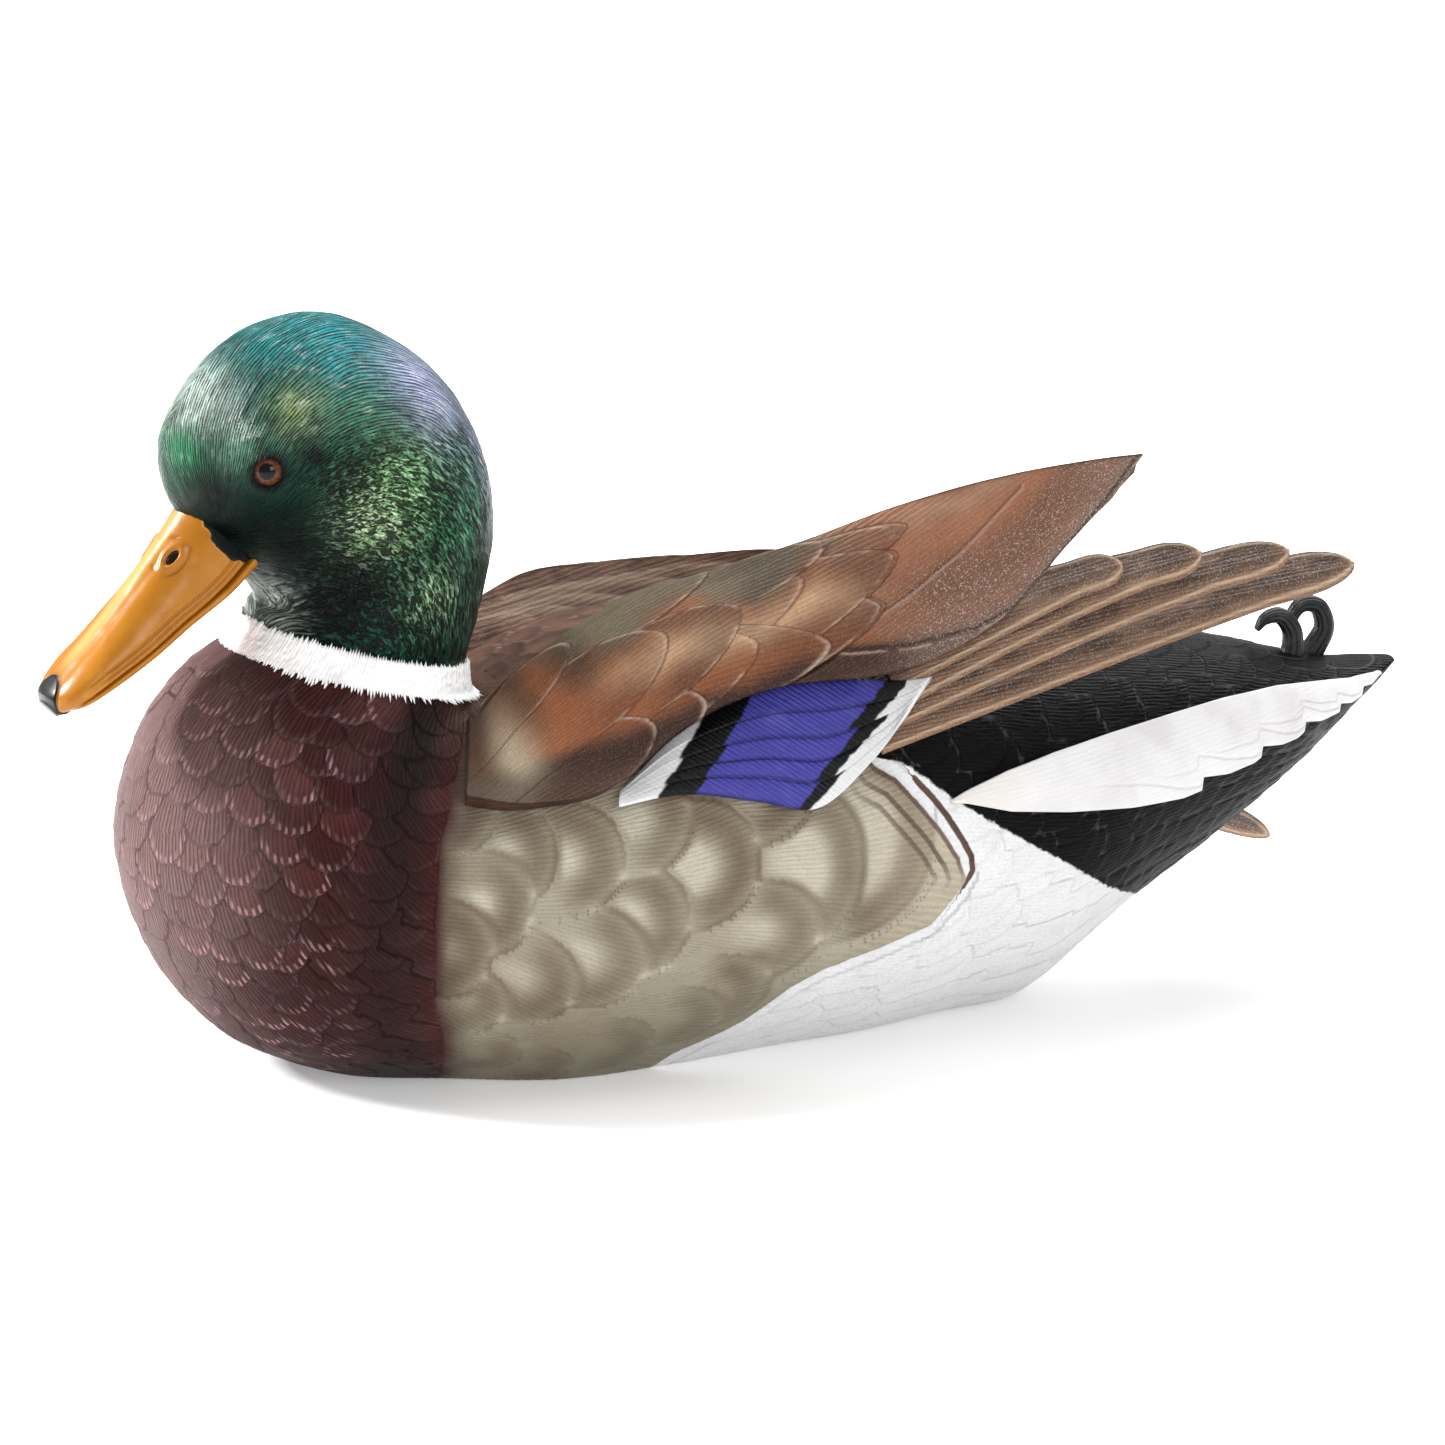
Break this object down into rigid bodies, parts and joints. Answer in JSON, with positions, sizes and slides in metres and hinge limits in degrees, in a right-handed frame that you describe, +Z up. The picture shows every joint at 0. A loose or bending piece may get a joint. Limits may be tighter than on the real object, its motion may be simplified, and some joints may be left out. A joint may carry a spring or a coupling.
{
  "type": "duck decoy",
  "caption": "Floating drake mallard decoy with a head that turns on the neck, a lifted left wing, a lowered right wing, curled tail feathers and a flat ballasted base with a line ring.",
  "frame": {"origin": "centre of the flat underside, level with the ground it stands on", "axes": "+X is the duck's left, +Y runs towards its tail, +Z is up; the bill points along -Y"},
  "size_m": [0.1719, 0.4197, 0.2163],
  "materials": {
    "painted_body": "painted resin, chestnut breast, olive flanks, white belly and black rump",
    "base_board": "dark satin",
    "black_rubber": "matt",
    "ballast_iron": "as cast",
    "bright_steel": "bright",
    "brass": "bright",
    "white_paint": "painted",
    "green_head": "painted, satin",
    "orange_bill": "painted, gloss",
    "amber_eye": "gloss",
    "brown_wing": "painted",
    "blue_speculum": "painted",
    "brown_feather": "painted",
    "black_paint": "painted"
  },
  "bodies": {
    "hull": {"body_shell": "painted_body", "base_plate": "base_board", "base_gasket": "black_rubber", "ballast_weight": "ballast_iron", "ballast_screw_1": "bright_steel", "ballast_screw_2": "bright_steel", "base_screw_1": "bright_steel", "base_screw_2": "bright_steel", "base_screw_3": "bright_steel", "base_screw_4": "bright_steel", "base_screw_5": "bright_steel", "base_screw_6": "bright_steel", "line_clip": "bright_steel", "neck_collar": "white_paint", "neck_friction_washer": "black_rubber", "wing_left": "brown_wing", "wing_right": "brown_wing", "secondaries_left": "blue_speculum", "secondaries_right": "blue_speculum", "primary_left_1": "brown_feather", "primary_left_2": "brown_feather", "primary_left_3": "brown_feather", "primary_left_4": "brown_feather", "primary_right_1": "brown_feather", "primary_right_2": "brown_feather", "primary_right_3": "brown_feather", "primary_right_4": "brown_feather", "tail_feathers_left": "white_paint", "tail_feathers_right": "white_paint", "tail_curl_front": "black_paint", "tail_curl_rear": "black_paint"},
    "head_body": {"head": "green_head", "head_insert": "brass", "neck_bolt": "bright_steel", "neck_washer": "bright_steel", "neck_spring_washer": "bright_steel", "bill_upper": "orange_bill", "bill_lower": "orange_bill", "eye_left": "amber_eye", "eye_right": "amber_eye"},
    "plug_body": {"drain_plug": "brass", "plug_seal": "black_rubber"},
    "ring_body": {"line_ring": "bright_steel"}
  },
  "joints": [
    {"name": "head_turn", "type": "hinge", "parent": "hull", "child": "head_body", "pos_m": [0, -0.096, 0.1145], "axis": [0, 0.2504, 0.9681], "range_deg": [-60, 45]},
    {"name": "drain_plug_out", "type": "slide", "parent": "hull", "child": "plug_body", "axis": [0, 0, -1], "range_m": [0, 0.03]},
    {"name": "line_ring_swing", "type": "hinge", "parent": "hull", "child": "ring_body", "pos_m": [0, -0.086, 0.0044], "axis": [-1, 0, 0], "range_deg": [0, 105]}
  ]
}
